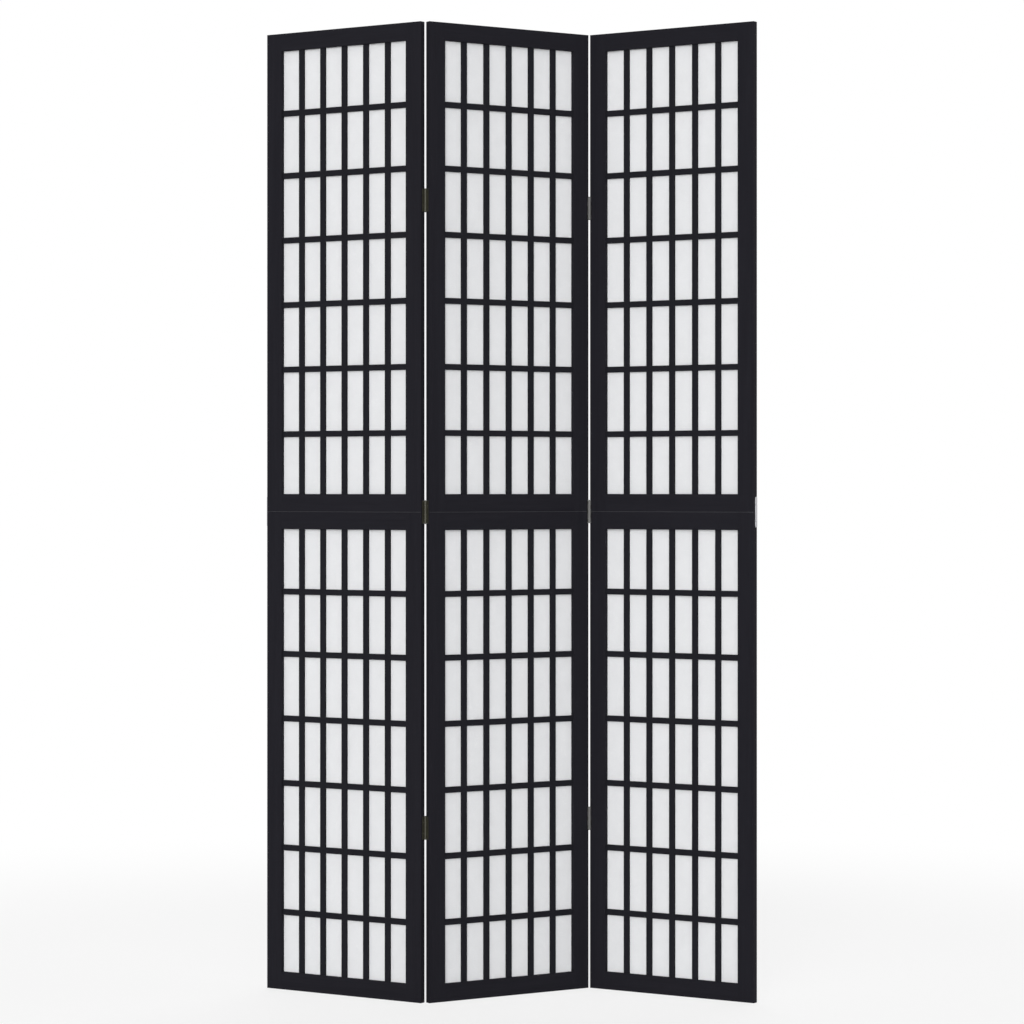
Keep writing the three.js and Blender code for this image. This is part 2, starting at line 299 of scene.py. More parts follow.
class Shader:
    """Adds nodes to a new material or world. An input is given a constant or another node's
    output."""

    def __init__(self, owner):
        owner.use_nodes = True
        self.owner = owner
        self.tree = owner.node_tree
        self.tree.nodes.clear()

    def node(self, kind, inputs=None, **settings):
        made = self.tree.nodes.new(kind)
        for key, value in settings.items():
            setattr(made, key, value)
        for key, value in (inputs or {}).items():
            if isinstance(value, bpy.types.NodeSocket):
                self.tree.links.new(value, made.inputs[key])
            else:
                made.inputs[key].default_value = value
        return made

    def math(self, operation, first, second):
        return self.node("ShaderNodeMath", {0: first, 1: second}, operation=operation).outputs[0]

    def blend(self, first, second, share):
        """A share of the first and the rest of the second."""
        parts = [self.math("MULTIPLY", first, share), self.math("MULTIPLY", second, 1 - share)]
        return self.math("ADD", *parts)

    def ramp(self, factor, stops):
        made = self.node("ShaderNodeValToRGB", {"Fac": factor})
        elements = made.color_ramp.elements
        while len(elements) < len(stops):
            elements.new(0.5)
        for element, (position, colour) in zip(elements, stops):
            element.position = position
            element.color = (*colour, 1)
        return made.outputs["Color"]

    def span(self, factor, low, high):
        """Maps 0 to 1 onto low to high."""
        made = self.node("ShaderNodeMapRange", {"Value": factor, "To Min": low, "To Max": high})
        return made.outputs["Result"]

    def place(self, scale=(1, 1, 1)):
        """Coordinates in the piece's own frame, stretched."""
        coordinates = self.node("ShaderNodeTexCoord").outputs["Object"]
        stretched = self.node("ShaderNodeMapping", {"Vector": coordinates, "Scale": scale})
        return stretched.outputs["Vector"]

    def chance(self):
        """A number that differs from piece to piece."""
        random_share = self.node("ShaderNodeObjectInfo").outputs["Random"]
        return self.math("MULTIPLY", random_share, CHANCE_SPREAD)

    def noise(self, vector, shift, scale, detail, roughness=0.5, distortion=0.0):
        """A cloudy pattern. Each shift gives another one."""
        inputs = {
            "Vector": vector,
            "W": shift,
            "Scale": scale,
            "Detail": detail,
            "Roughness": roughness,
            "Distortion": distortion,
        }
        return self.node("ShaderNodeTexNoise", inputs, noise_dimensions="4D").outputs["Fac"]

    def bump(self, height, strength, distance, under=None):
        inputs = {"Height": height, "Strength": strength, "Distance": distance}
        if under is not None:
            inputs["Normal"] = under
        return self.node("ShaderNodeBump", inputs).outputs["Normal"]

    def finish(self, surface):
        self.node("ShaderNodeOutputMaterial", {"Surface": surface})
        return self.owner


def lacquered_wood(name, dark, light, roughness):
    """Satin black lacquer over fine straight grain, which runs along each piece's own z."""
    shader = Shader(bpy.data.materials.new(name))
    chance = shader.chance()
    along = shader.place((1, 1, GRAIN_STRETCH))
    grain = shader.noise(along, chance, scale=620, detail=4, roughness=0.62, distortion=0.25)
    growth = shader.noise(along, chance, scale=95, detail=2, distortion=0.6)
    around = shader.place()
    cloud = shader.noise(around, chance, scale=22, detail=2)
    skin = shader.noise(around, chance, scale=1500, detail=1)
    tone = shader.blend(grain, growth, 0.55)
    colour = shader.ramp(tone, [(0.32, dark), (0.68, light)])
    gloss = shader.math("ADD", shader.span(cloud, -0.05, 0.05), shader.span(grain, -0.07, 0.07))
    pores = shader.ramp(grain, [(0.28, (0, 0, 0)), (0.46, (1, 1, 1))])
    relief = shader.bump(pores, 0.28, 0.06 * MM)
    relief = shader.bump(growth, 0.3, 0.25 * MM, relief)
    relief = shader.bump(skin, 0.12, 0.03 * MM, relief)
    surface = shader.node("ShaderNodeBsdfPrincipled", {
        "Base Color": colour,
        "Roughness": shader.math("ADD", gloss, roughness),
        "Specular IOR Level": LACQUER_SPECULAR,
        "Normal": relief,
    })
    return shader.finish(surface.outputs["BSDF"])


def fibre_paper():
    """Translucent white paper with a soft cloudiness and scattered long fibres."""
    shader = Shader(bpy.data.materials.new("fibre_paper"))
    chance = shader.chance()
    around = shader.place()
    cloud = shader.noise(around, chance, scale=45, detail=4, roughness=0.55, distortion=0.3)
    fine = shader.noise(around, chance, scale=420, detail=3, roughness=0.6, distortion=0.4)
    fibres = None
    for scale, stretch in ((34, (1, 1, 0.5)), (47, (0.55, 1, 1)), (60, (1, 1, 1))):
        field = shader.noise(shader.place(stretch), chance, scale, detail=1, distortion=2.2)
        distance = shader.math("ABSOLUTE", shader.math("SUBTRACT", field, 0.5), 0.0)
        strand = shader.ramp(distance, [(0.0, (1, 1, 1)), (0.006, (0, 0, 0))])
        fibres = strand if fibres is None else shader.math("MAXIMUM", fibres, strand)
    body = shader.blend(cloud, fine, 0.6)
    plain = shader.ramp(body, [(0.3, (0.8, 0.804, 0.813)), (0.7, (0.835, 0.839, 0.848))])
    colour = shader.node("ShaderNodeMix", {
        0: shader.math("MULTIPLY", fibres, 0.5),
        6: plain,
        7: (0.88, 0.883, 0.89, 1),
    }, data_type="RGBA").outputs[2]
    relief = shader.bump(fibres, 0.25, 0.05 * MM)
    relief = shader.bump(fine, 0.25, 0.08 * MM, relief)
    front = shader.node("ShaderNodeBsdfPrincipled", {
        "Base Color": colour,
        "Roughness": shader.span(fine, 0.8, 0.95),
        "Specular IOR Level": PAPER_SPECULAR,
        "Normal": relief,
    })
    behind = shader.node("ShaderNodeBsdfTranslucent", {"Color": colour, "Normal": relief})
    both = shader.node("ShaderNodeMixShader", {
        "Fac": PAPER_TRANSLUCENCY,
        1: front.outputs["BSDF"],
        2: behind.outputs["BSDF"],
    })
    return shader.finish(both.outputs["Shader"])


def worn_metal(name, dark, light, metallic, roughness, stretch, scale):
    """Metal with a streaked or mottled surface and fine scratches. Where it is dulled by oxide,
    metallic is below 1."""
    shader = Shader(bpy.data.materials.new(name))
    chance = shader.chance()
    streaked = shader.place(stretch)
    streak = shader.noise(streaked, chance, scale, detail=3, roughness=0.6, distortion=0.1)
    blot = shader.noise(shader.place(), chance, scale=260, detail=2, distortion=0.4)
    tone = shader.blend(streak, blot, 0.5)
    surface = shader.node("ShaderNodeBsdfPrincipled", {
        "Base Color": shader.ramp(tone, [(0.33, dark), (0.67, light)]),
        "Metallic": metallic,
        "Roughness": shader.span(tone, roughness - WEAR_SPREAD, roughness + WEAR_SPREAD),
        "Normal": shader.bump(streak, 0.2, 0.03 * MM),
    })
    return shader.finish(surface.outputs["BSDF"])


MATERIALS = {
    "black_lacquered_wood": lacquered_wood(
        "black_lacquered_wood", (0.0124, 0.0120, 0.0156), (0.0164, 0.0159, 0.0202), roughness=0.52
    ),
    "black_lattice_wood": lacquered_wood(
        "black_lattice_wood", (0.0118, 0.0117, 0.0148), (0.0155, 0.0155, 0.0193), roughness=0.55
    ),
    "shoji_paper": fibre_paper(),
    # The hinge metal is dark partly from its bronzing and partly as painted shade for the hinges
    # deep in the folds
    "hinge_steel": worn_metal(
        "bronzed_steel", (0.029, 0.028, 0.018), (0.044, 0.0425, 0.028),
        metallic=0.4, roughness=0.5, stretch=(1, 1, 0.06), scale=1500,
    ),
    "pin_steel": worn_metal(
        "drawn_steel", (0.06, 0.058, 0.052), (0.095, 0.092, 0.085),
        metallic=0.6, roughness=0.42, stretch=(1, 1, 0.04), scale=1800,
    ),
    "plate_steel": worn_metal(
        "zinc_plated_steel", (0.42, 0.42, 0.44), (0.53, 0.53, 0.55),
        metallic=1.0, roughness=0.38, stretch=(1, 1, 0.08), scale=1200,
    ),
}
# Lighter copies of two materials, painted highlights: on the eased front edges at the seam between
# the half frames, and on the outer half of the hinge knuckles
PAINTED_HIGHLIGHT_MATERIALS = {
    "black_lacquered_wood": lacquered_wood(
        "rubbed_lacquer", (0.05, 0.05, 0.055), (0.085, 0.085, 0.09), roughness=0.5
    ),
    "hinge_steel": worn_metal(
        "rubbed_steel", (0.093, 0.092, 0.09), (0.137, 0.136, 0.133),
        metallic=0.3, roughness=0.55, stretch=(1, 1, 0.06), scale=1500,
    ),
}


# Pieces

def smooth_data(name, mesh, materials):
    """Mesh data from a bmesh, smooth but for its sharp edges."""
    for edge in mesh.edges:
        edge.smooth = edge.calc_face_angle(0) < SHARP_ANGLE
    for face in mesh.faces:
        face.smooth = True
    data = bpy.data.meshes.new(name)
    for material in materials:
        data.materials.append(material)
    mesh.to_mesh(data)
    mesh.free()
    return data


def add_piece(name, mesh, node, slot, local, has_painted_highlight=None):
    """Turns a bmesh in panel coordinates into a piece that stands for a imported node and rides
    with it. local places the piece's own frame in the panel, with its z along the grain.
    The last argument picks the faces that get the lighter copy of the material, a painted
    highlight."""
    materials = [MATERIALS[slot]]
    if has_painted_highlight:
        materials.append(PAINTED_HIGHLIGHT_MATERIALS[slot])
        for face in mesh.faces:
            face.material_index = int(has_painted_highlight(face))
    mesh.transform(local.inverted())
    data = smooth_data(name, mesh, materials)
    return place_piece(name, data, node, PANEL_MATRIX[body_of(node)] @ local)


def place_piece(name, data, node, matrix):
    """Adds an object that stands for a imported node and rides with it."""
    piece = bpy.data.objects.new(name, data)
    bpy.context.scene.collection.objects.link(piece)
    piece.matrix_world = matrix
    even = piece.modifiers.new("even_shading", "WEIGHTED_NORMAL")
    even.keep_sharp = True
    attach(piece, body_of(node))
    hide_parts(node)
    return piece


def grain_frame(low, high, axis):
    """A frame at the middle of a box, with its z along the given axis of the panel."""
    centre = Matrix.Translation((Vector(low) + Vector(high)) / 2)
    if axis == "x":
        return centre @ Matrix.Rotation(math.pi / 2, 4, "Y")
    return centre


def cells_mesh(cuts, is_solid):
    """A closed bmesh round those cells between the cuts along x, y and z that are solid."""
    middles = [[(a + b) / 2 for a, b in zip(levels, levels[1:])] for levels in cuts]
    ranges = [range(len(levels)) for levels in middles]
    solid = {
        cell
        for cell in itertools.product(*ranges)
        if is_solid(*(middles[axis][cell[axis]] for axis in range(3)))
    }
    mesh = bmesh.new()
    corners = {}

    def corner(key):
        if key not in corners:
            corners[key] = mesh.verts.new([cuts[axis][key[axis]] for axis in range(3)])
        return corners[key]

    for cell, axis, way in itertools.product(sorted(solid), range(3), (0, 1)):
        neighbour = list(cell)
        neighbour[axis] += 2 * way - 1
        if tuple(neighbour) in solid:
            continue
        square = []
        for across, up in ((0, 0), (1, 0), (1, 1), (0, 1)):
            key = list(cell)
            key[axis] += way
            key[(axis + 1) % 3] += across
            key[(axis + 2) % 3] += up
            square.append(corner(tuple(key)))
        mesh.faces.new(square if way else square[::-1])
    bmesh.ops.dissolve_limit(mesh, angle_limit=FLAT_ANGLE, verts=mesh.verts[:], edges=mesh.edges[:])
    return mesh


def ease_edges(mesh, width, is_eased):
    """Rounds over the outward edges whose middle is_eased accepts."""
    edges = []
    for edge in mesh.edges:
        middle = (edge.verts[0].co + edge.verts[1].co) / 2
        if edge.calc_face_angle_signed(0) > SHARP_ANGLE and is_eased(middle):
            edges.append(edge)
    bmesh.ops.bevel(
        mesh,
        geom=edges,
        offset=width,
        offset_type="OFFSET",
        segments=EASING_STEPS,
        profile=0.5,
        affect="EDGES",
        clamp_overlap=True,
    )


def within(value, *spans, margin=0.0):
    """Whether a value lies inside one of the spans, widened by the margin."""
    return any(low - margin < value < high + margin for low, high in spans)


def widened(spans, gap):
    return [(low - gap, high + gap) for low, high in spans]


def in_order(*levels):
    """The different levels, from low to high."""
    return sorted(set(levels))


# Frames

def is_seam_edge(face):
    """Whether a face belongs to the eased front edge where the two half frames meet. These faces
    get a lighter lacquer, a painted highlight.
    """
    middle = face.calc_center_median()
    is_at_seam = abs(middle.z - SEAM_Z) < SEAM_GAP + EASED_EDGE
    return is_at_seam and face.normal.y < -EASED_SLOPE and abs(face.normal.z) > EASED_SLOPE


def leaf_pockets(half, side):
    """The spans in height of the hinge pockets at one end of a half frame, and their face."""
    fold, face = PANEL_ENDS[half.body, side]
    reach = HINGE_HEIGHT / 2 + LEAF_POCKET_GAP
    spans = []
    for name, height in HINGE_HEIGHTS.items():
        if name.startswith(fold):
            low = max(height - reach, half.bottom)
            high = min(height + reach, half.top)
            if low < high:
                spans.append((low, high))
    return spans, face


def add_stile(half, side):
    name = f"{half.name}_{'left' if side < 0 else 'right'}_stile"
    pockets, face = leaf_pockets(half, side)
    pocket_x = half.edge - LEAF_THICKNESS - LEAF_POCKET_GAP
    pocket_y = face * (half.back - LEAF_WIDTH - LEAF_POCKET_GAP)
    notch = KNUCKLE_RADIUS + KNUCKLE_GAP
    notch_x = half.edge + PIN_OFFSET[0] - math.sqrt(notch ** 2 - PIN_OFFSET[1] ** 2)
    notch_y = face * (half.back + PIN_OFFSET[1] - notch)
    housing_x = half.opening_edge + HOUSING_DEPTH
    rebate_x = half.opening_edge + REBATE_WIDTH
    housing_y = half.lattice_low.y - HOUSING_GAP
    shoulder_y = half.lattice_high.y
    rebate = (half.opening_bottom - REBATE_WIDTH, half.opening_top + REBATE_WIDTH)
    housings = widened(half.crossbars, HOUSING_GAP)
    distances = in_order(half.opening_edge, housing_x, rebate_x, notch_x, pocket_x, half.edge)
    heights = in_order(
        half.bottom, half.top, half.opening_bottom, half.opening_top, *rebate,
        *itertools.chain(*housings), *itertools.chain(*pockets),
    )

    def is_solid(x, y, z):
        distance = side * x
        if distance < rebate_x and y > shoulder_y and within(z, rebate):
            return False
        if distance < housing_x and y > housing_y and within(z, *housings):
            return False
        in_pocket = distance > pocket_x and (y - pocket_y) * face > 0
        in_notch = distance > notch_x and (y - notch_y) * face > 0
        return not ((in_pocket or in_notch) and within(z, *pockets))

    cuts = [
        sorted(side * distance for distance in distances),
        in_order(half.front, housing_y, shoulder_y, pocket_y, notch_y, half.back),
        heights,
    ]
    mesh = cells_mesh(cuts, is_solid)
    opening = (half.opening_bottom, half.opening_top)

    def is_eased(middle):
        distance = side * middle.x
        if abs(distance - half.opening_edge) < TOUCHING:
            return middle.y < housing_y and within(middle.z, opening)
        at_end = middle.z < half.bottom + TOUCHING or middle.z > half.top - TOUCHING
        at_side = distance > half.edge - TOUCHING
        at_face = abs(middle.y) > half.back - TOUCHING
        in_pocket = within(middle.z, *pockets, margin=POCKET_MARGIN) and not at_end
        if in_pocket and (middle.y - pocket_y) * face > -TOUCHING:
            return False
        return (at_end and (at_side or at_face)) or (at_side and at_face)

    ease_edges(mesh, EASED_EDGE, is_eased)
    low = (side * half.opening_edge, half.front, half.bottom)
    high = (side * half.edge, half.back, half.top)
    grain = grain_frame(low, high, "z")
    add_piece(f"{name}_lacquered", mesh, name, "black_lacquered_wood", grain, is_seam_edge)


def add_rail(half, is_top):
    name = f"{half.name}_{'top' if is_top else 'bottom'}_rail"
    outer, inner = (half.top, half.opening_top) if is_top else (half.bottom, half.opening_bottom)
    away = 1 if is_top else -1  # from the opening
    reach = half.opening_edge - BUTT_GAP
    rebate_z = inner + away * REBATE_WIDTH
    housing_z = inner + away * HOUSING_DEPTH
    housing_y = half.lattice_low.y - HOUSING_GAP
    shoulder_y = half.lattice_high.y
    housings = widened(half.uprights, HOUSING_GAP)

    def is_solid(x, y, z):
        if y > shoulder_y and (rebate_z - z) * away > 0:
            return False
        in_housing = y > housing_y and (housing_z - z) * away > 0
        return not (in_housing and within(x, *housings))

    cuts = [
        in_order(-reach, reach, *itertools.chain(*housings)),
        in_order(half.front, housing_y, shoulder_y, half.back),
        in_order(outer, inner, rebate_z, housing_z),
    ]
    mesh = cells_mesh(cuts, is_solid)

    def is_eased(middle):
        if abs(middle.x) > reach - TOUCHING:
            return False
        if abs(middle.z - inner) < TOUCHING:
            return middle.y < housing_y
        return abs(middle.z - outer) < TOUCHING or abs(middle.z - rebate_z) < TOUCHING

    ease_edges(mesh, EASED_EDGE, is_eased)
    low = (-reach, half.front, min(outer, inner))
    high = (reach, half.back, max(outer, inner))
    grain = grain_frame(low, high, "x")
    add_piece(f"{name}_lacquered", mesh, name, "black_lacquered_wood", grain, is_seam_edge)


# Lattice

def add_bar(half, name, axis, span, crossings):
    """One bar along x (axis 0) or z (axis 2). An upright is halved at the back of each crossing,
    and a crossbar at the front."""
    other = 2 - axis
    is_upright = axis == 2
    lap_y = (half.lattice_low.y + half.lattice_high.y) / 2
    lap_y += -LAP_GAP / 2 if is_upright else LAP_GAP / 2
    notches = widened(crossings, LAP_GAP)
    ends = (half.lattice_low[axis], half.lattice_high[axis])
    cuts = [None, in_order(half.lattice_low.y, lap_y, half.lattice_high.y), None]
    cuts[axis] = in_order(*ends, *itertools.chain(*notches))
    cuts[other] = list(span)

    def is_solid(*point):
        is_front = point[1] < lap_y
        return not within(point[axis], *notches) or is_front == is_upright

    mesh = cells_mesh(cuts, is_solid)

    def is_eased(middle):
        on_side = min(abs(middle[other] - level) for level in span) < TOUCHING
        return on_side and middle.y < half.lattice_low.y + TOUCHING

    ease_edges(mesh, EASED_BAR_EDGE, is_eased)
    low = Vector(half.lattice_low)
    high = Vector(half.lattice_high)
    low[other], high[other] = span
    grain = grain_frame(low, high, "z" if is_upright else "x")
    add_piece(name, mesh, f"{half.name}_lattice", "black_lattice_wood", grain)


def add_lattice(half):
    for number, span in enumerate(half.uprights, 1):
        add_bar(half, f"{half.name}_upright_{number}", 2, span, half.crossbars)
    for number, span in enumerate(half.crossbars, 1):
        add_bar(half, f"{half.name}_crossbar_{number}", 0, span, half.uprights)


# Paper

def pane_levels(low, high, bars):
    """Levels from low to high about a paper step apart, with some on each side of each bar."""
    stops = in_order(low, high, *itertools.chain(*bars))
    levels = []
    for start, stop in zip(stops, stops[1:]):
        steps = max(1, round((stop - start) / PAPER_STEP))
        levels += [start + (stop - start) * step / steps for step in range(steps)]
    return levels + [stops[-1]]


def swell(value, stops):
    """0 where the paper is glued down, at each stop, and 1 midway between two."""
    for low, high in zip(stops, stops[1:]):
        if low <= value <= high:
            share = (value - low) / (high - low)
            return max(0.0, math.sin(math.pi * share)) ** PAPER_SWELL_POWER
    return 0.0


def add_paper(half, chance):
    width = half.opening_edge + PAPER_MARGIN
    bottom = half.opening_bottom - PAPER_MARGIN
    top = half.opening_top + PAPER_MARGIN
    front = half.lattice_high.y + PAPER_SETBACK
    xs = pane_levels(-width, width, half.uprights)
    zs = pane_levels(bottom, top, half.crossbars)
    glued_x = in_order(-half.opening_edge, half.opening_edge, *itertools.chain(*half.uprights))
    glued_z = in_order(half.opening_bottom, half.opening_top, *itertools.chain(*half.crossbars))
    pane_slack = {}

    def depth(x, z):
        pane = (sum(x > level for level in glued_x), sum(z > level for level in glued_z))
        if pane not in pane_slack:
            pane_slack[pane] = chance.uniform(*PAPER_SLACK_SHARES) * PAPER_SLACK
        rippled_at = Vector((x * PAPER_RIPPLE_RATE, z * PAPER_RIPPLE_RATE, chance_shift))
        ripple = noise.noise(rippled_at) * PAPER_RIPPLE
        return front + swell(x, glued_x) * swell(z, glued_z) * (pane_slack[pane] + ripple)

    chance_shift = chance.uniform(0, PAPER_RIPPLE_SHIFT)
    depths = {(i, j): depth(x, z) for i, x in enumerate(xs) for j, z in enumerate(zs)}
    mesh = bmesh.new()
    sides = []
    for lift in (0, PAPER_THICKNESS):
        sides.append({
            (i, j): mesh.verts.new((xs[i], y + lift, zs[j])) for (i, j), y in depths.items()
        })
    near, far = sides
    columns, rows = len(xs) - 1, len(zs) - 1
    for i, j in itertools.product(range(columns), range(rows)):
        ring = [(i, j), (i + 1, j), (i + 1, j + 1), (i, j + 1)]
        mesh.faces.new([near[key] for key in ring])
        mesh.faces.new([far[key] for key in reversed(ring)])
    border = [(i, 0) for i in range(columns)] + [(columns, j) for j in range(rows)]
    border += [(i, rows) for i in range(columns, 0, -1)] + [(0, j) for j in range(rows, 0, -1)]
    for key, following in zip(border, border[1:] + border[:1]):
        mesh.faces.new([near[following], near[key], far[key], far[following]])
    name = f"{half.name}_paper"
    centre = Matrix.Translation((0, front, (bottom + top) / 2))
    piece = add_piece(f"{name}_sheet", mesh, name, "shoji_paper", centre)


# Hardware

def rounded_outline(width, height, radius, inset):
    """The points of a rounded rectangle round the origin, drawn in by inset."""
    points = []
    for quarter, (x_way, y_way) in enumerate(((1, 1), (-1, 1), (-1, -1), (1, -1))):
        for step in range(CORNER_STEPS + 1):
            angle = (quarter + step / CORNER_STEPS) * math.pi / 2
            x = x_way * (width / 2 - radius) + (radius - inset) * math.cos(angle)
            y = y_way * (height / 2 - radius) + (radius - inset) * math.sin(angle)
            points.append((x, y))
    return points


def circle(radius, centre=(0, 0), steps=ROUND_STEPS):
    angles = [2 * math.pi * step / steps for step in range(steps)]
    return [(centre[0] + radius * math.cos(a), centre[1] + radius * math.sin(a)) for a in angles]


def ring_of(mesh, outline, height):
    return [mesh.verts.new((x, y, height)) for x, y in outline]


def ring_edges(mesh, ring):
    return [
        mesh.edges.get(pair) or mesh.edges.new(pair) for pair in zip(ring, ring[1:] + ring[:1])
    ]


def join_rings(mesh, first, second):
    for i, vertex in enumerate(first):
        following = (i + 1) % len(first)
        mesh.faces.new((vertex, first[following], second[following], second[i]))


def fill_between(mesh, rings):
    """Fills the flat face inside the first ring and outside the others."""
    edges = itertools.chain(*(ring_edges(mesh, ring) for ring in rings))
    bmesh.ops.triangle_fill(mesh, use_beauty=True, edges=list(edges))


def slab_mesh(outline, holes, thickness, edge):
    """A slab on the plane z = 0 with a chamfered upper edge and countersunk screw holes."""
    mesh = bmesh.new()
    base = ring_of(mesh, outline(0), 0)
    side = ring_of(mesh, outline(0), thickness - edge)
    face = ring_of(mesh, outline(edge), thickness)
    join_rings(mesh, base, side)
    join_rings(mesh, side, face)
    floor_rings = [base]
    face_rings = [face]
    for centre in holes:
        narrow = ring_of(mesh, circle(SCREW_RADIUS + SCREW_SINK_GAP, centre), 0)
        wide = ring_of(mesh, circle(SCREW_HEAD_RADIUS + SCREW_SINK_GAP, centre), thickness)
        join_rings(mesh, narrow, wide)
        floor_rings.append(narrow)
        face_rings.append(wide)
    fill_between(mesh, floor_rings)
    fill_between(mesh, face_rings)
    bmesh.ops.recalc_face_normals(mesh, faces=mesh.faces[:])
    return mesh


def cross_outline(reach, half_width):
    """The twelve corners of a cross round the origin."""
    quarter = [(reach, -half_width), (reach, half_width), (half_width, half_width)]
    points = []
    for turn in range(4):
        c, s = round(math.cos(turn * math.pi / 2)), round(math.sin(turn * math.pi / 2))
        points += [(c * x - s * y, s * x + c * y) for x, y in quarter]
    return points


def screw_data(material):
    """A countersunk cross-head screw along z, with its head's seat at z = 0."""
    mesh = bmesh.new()
    threads = int((SCREW_LENGTH - SCREW_TIP) / SCREW_THREAD_PITCH)
    profile = [
        (SCREW_HEAD_RADIUS * SCREW_CROWN_SHARE, SCREW_HEAD_RISE),
        (SCREW_HEAD_RADIUS, SCREW_HEAD_RISE - SCREW_CROWN),
        (SCREW_HEAD_RADIUS, -SCREW_CROWN),
        (SCREW_RADIUS, -SCREW_HEAD_DEPTH - SCREW_CROWN),
    ]
    height = -SCREW_HEAD_DEPTH - SCREW_THREAD_PITCH
    for _ in range(threads):
        profile.append((SCREW_RADIUS - SCREW_THREAD_DEPTH, height))
        profile.append((SCREW_RADIUS, height - SCREW_THREAD_PITCH / 2))
        height -= SCREW_THREAD_PITCH
    profile.append((SCREW_RADIUS * SCREW_POINT, -SCREW_LENGTH))
    rings = [ring_of(mesh, circle(radius, steps=SCREW_STEPS), z) for radius, z in profile]
    for upper, lower in zip(rings, rings[1:]):
        join_rings(mesh, upper, lower)
    mesh.faces.new(rings[-1])
    recess = ring_of(mesh, cross_outline(RECESS_REACH, RECESS_WIDTH), SCREW_HEAD_RISE)
    floor_outline = cross_outline(RECESS_REACH * RECESS_TAPER, RECESS_WIDTH * RECESS_TAPER)
    floor = ring_of(mesh, floor_outline, SCREW_HEAD_RISE - RECESS_DEPTH)
    join_rings(mesh, recess, floor)
    mesh.faces.new(floor)
    fill_between(mesh, [rings[0], recess])
    bmesh.ops.recalc_face_normals(mesh, faces=mesh.faces[:])
    return smooth_data("cross_head_screw", mesh, [material])


SCREW_DATA = {}


def add_screw(name, node, slot, side, place, stand_off, turn):
    """A screw driven into the end face at place, which is its (y, z) in the panel."""
    if slot not in SCREW_DATA:
        SCREW_DATA[slot] = screw_data(MATERIALS[slot])
    x = side * (END_X + stand_off)
    matrix = Matrix.Translation((x, *place)) @ Matrix.Rotation(side * math.pi / 2, 4, "Y")
    matrix = PANEL_MATRIX[body_of(node)] @ matrix @ Matrix.Rotation(turn, 4, "Z")
    place_piece(name, SCREW_DATA[slot], node, matrix)


def end_frame(side, face, y, z):
    """A frame on the panel's end face: x across the end towards the given face, z outwards."""
    axes = Matrix(((0, 0, side), (face, 0, 0), (0, 1, 0))).to_4x4()
    return Matrix.Translation((side * END_X, y, z)) @ axes


def transformed(mesh, matrix):
    """The mesh moved, with its normals turned outwards again."""
    mesh.transform(matrix)
    bmesh.ops.recalc_face_normals(mesh, faces=mesh.faces[:])
    return mesh


def knuckle_outline():
    """The rolled end of a leaf, from above: (outwards from the end face, outwards from the face
    that the knuckles stand out of), with a slit where the roll comes back to the leaf."""
    centre_x, centre_y = PIN_OFFSET
    left, right = -LEAF_THICKNESS, 0.0
    slit = right + ROLL_SLIT

    def angle_at(radius, x):
        return math.atan2(-math.sqrt(radius ** 2 - (x - centre_x) ** 2), x - centre_x)

    def arc(radius, start, stop, steps):
        angles = [start + (stop - start) * step / steps for step in range(steps + 1)]
        return [(centre_x + radius * math.cos(a), centre_y + radius * math.sin(a)) for a in angles]

    outside = arc(
        KNUCKLE_RADIUS,
        angle_at(KNUCKLE_RADIUS, left),
        angle_at(KNUCKLE_RADIUS, slit) - 2 * math.pi,
        ROUND_STEPS,
    )
    inside = arc(
        BORE_RADIUS,
        angle_at(BORE_RADIUS, slit),
        angle_at(BORE_RADIUS, right) + 2 * math.pi,
        BORE_STEPS,
    )
    return [(left, -LEAF_FOOT), *outside, *inside, (right, -LEAF_FOOT)]


def add_knuckle(mesh, side, face, span):
    rings = []
    for z in span:
        rings.append([
            mesh.verts.new((side * (END_X + out), face * (FACE_Y + away), z))
            for out, away in knuckle_outline()
        ])
    join_rings(mesh, *rings)
    for ring in rings:
        mesh.faces.new(ring)


def knuckle_spans(height, is_outer):
    pitch = HINGE_HEIGHT / KNUCKLE_COUNT
    spans = []
    for number in range(0 if is_outer else 1, KNUCKLE_COUNT, 2):
        centre = height - HINGE_HEIGHT / 2 + (number + 0.5) * pitch
        reach = (pitch - KNUCKLE_END_PLAY) / 2
        spans.append((centre - reach, centre + reach))
    return spans


def add_leaf(body, side, face, node, height):
    """A leaf let in flush, with its rolled knuckles and two screws. The outward faces of the
    knuckles' outer half get a lighter copy of the hinge metal, a painted highlight."""
    clear = KNUCKLE_RADIUS + KNUCKLE_END_PLAY - PIN_OFFSET[1]
    width = LEAF_WIDTH - clear
    centre_y = face * (FACE_Y - clear - width / 2)

    def outline(inset):
        return rounded_outline(width, HINGE_HEIGHT, LEAF_CORNER, inset)

    places = [-HINGE_SCREW_PITCH / 2, HINGE_SCREW_PITCH / 2]
    screw_y = face * (FACE_Y - HINGE_SCREW_INSET)
    offset = (screw_y - centre_y) * face
    plate = slab_mesh(outline, [(offset, along) for along in places], LEAF_THICKNESS, LEAF_EDGE)
    sunk = Matrix.Translation((0, 0, -LEAF_THICKNESS))
    mesh = transformed(plate, end_frame(side, face, centre_y, height) @ sunk)
    for span in knuckle_spans(height, body == "middle_panel"):
        add_knuckle(mesh, side, face, span)
    bmesh.ops.recalc_face_normals(mesh, faces=mesh.faces[:])
    local = Matrix.Translation((side * END_X, face * FACE_Y, height))

    # the outward faces of the knuckles' outer half, which get the painted highlight
    def has_painted_highlight(polygon):
        outside = face * polygon.calc_center_median().y > FACE_Y + PIN_OFFSET[1]
        return outside and face * polygon.normal.y > PAINTED_HIGHLIGHT_SLOPE

    add_piece(f"{node}_plate", mesh, node, "hinge_steel", local, has_painted_highlight)
    for number, along in enumerate(places, 1):
        turn = SCREW_TURNS.uniform(0, math.pi / 2)
        name = f"{node}_screw_{number}"
        add_screw(name, node, "hinge_steel", side, (screw_y, height + along), 0, turn)


